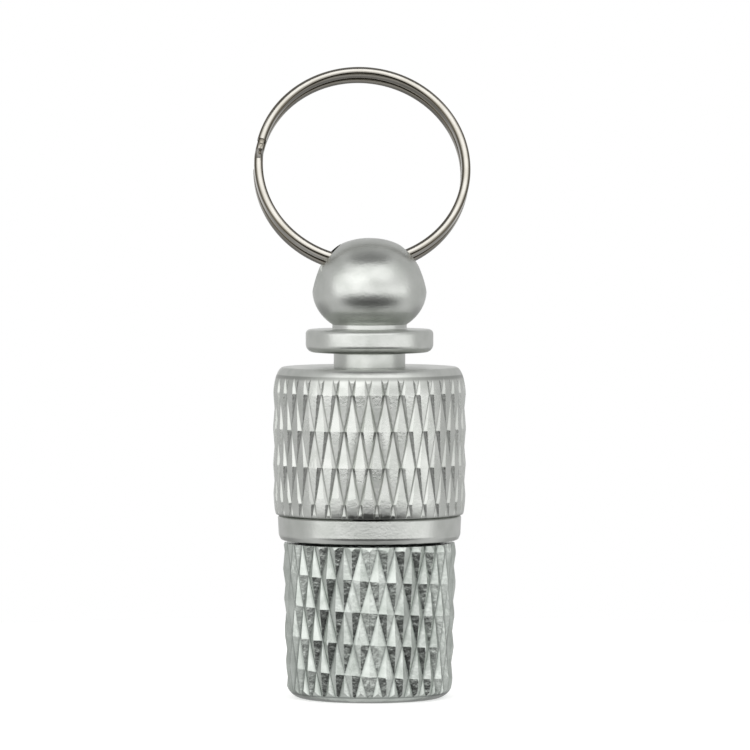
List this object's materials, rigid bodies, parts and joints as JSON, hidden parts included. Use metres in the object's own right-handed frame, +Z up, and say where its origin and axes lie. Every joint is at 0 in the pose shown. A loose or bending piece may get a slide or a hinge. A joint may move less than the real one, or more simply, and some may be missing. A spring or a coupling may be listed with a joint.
{
  "type": "keyring capsule",
  "caption": "Knurled aluminium screw-top capsule on a split ring, for a rolled paper slip.",
  "frame": {"origin": "centre of the capsule's flat base, on the surface that it stands on", "axes": "+Z up along the capsule's axis towards the ball and the split ring; +X along the cross hole in the ball; -Y is the side that the picture shows"},
  "size_m": [0.0148, 0.0131, 0.0428],
  "materials": {
    "satin_aluminium": "turned and satin anodised",
    "bright_aluminium": "bright cut knurl",
    "seal_rubber": "moulded, matte",
    "slip_paper": "uncoated",
    "ring_steel": "nickel plated, polished"
  },
  "bodies": {
    "barrel": {"barrel": "bright_aluminium", "paper_slip": "slip_paper"},
    "seal": {"o_ring": "seal_rubber"},
    "cap": {"cap": "satin_aluminium"},
    "ring": {"split_ring": "ring_steel"}
  },
  "joints": [
    {"name": "cap_turn", "type": "hinge", "parent": "barrel", "child": "seal", "pos_m": [0, 0, 0.01], "axis": [0, 0, 1], "range_deg": [0, 2070]},
    {"name": "cap_lift", "type": "slide", "parent": "seal", "child": "cap", "axis": [0, 0, 1], "range_m": [0, 0.00575]},
    {"name": "ring_swing", "type": "hinge", "parent": "cap", "child": "ring", "pos_m": [0, 0, 0.02947], "axis": [1, 0, 0], "range_deg": [-122, 170]}
  ],
  "couplings": [
    {"joint": "cap_turn", "follows": "cap_lift", "rad_per_m": 6283.2}
  ]
}
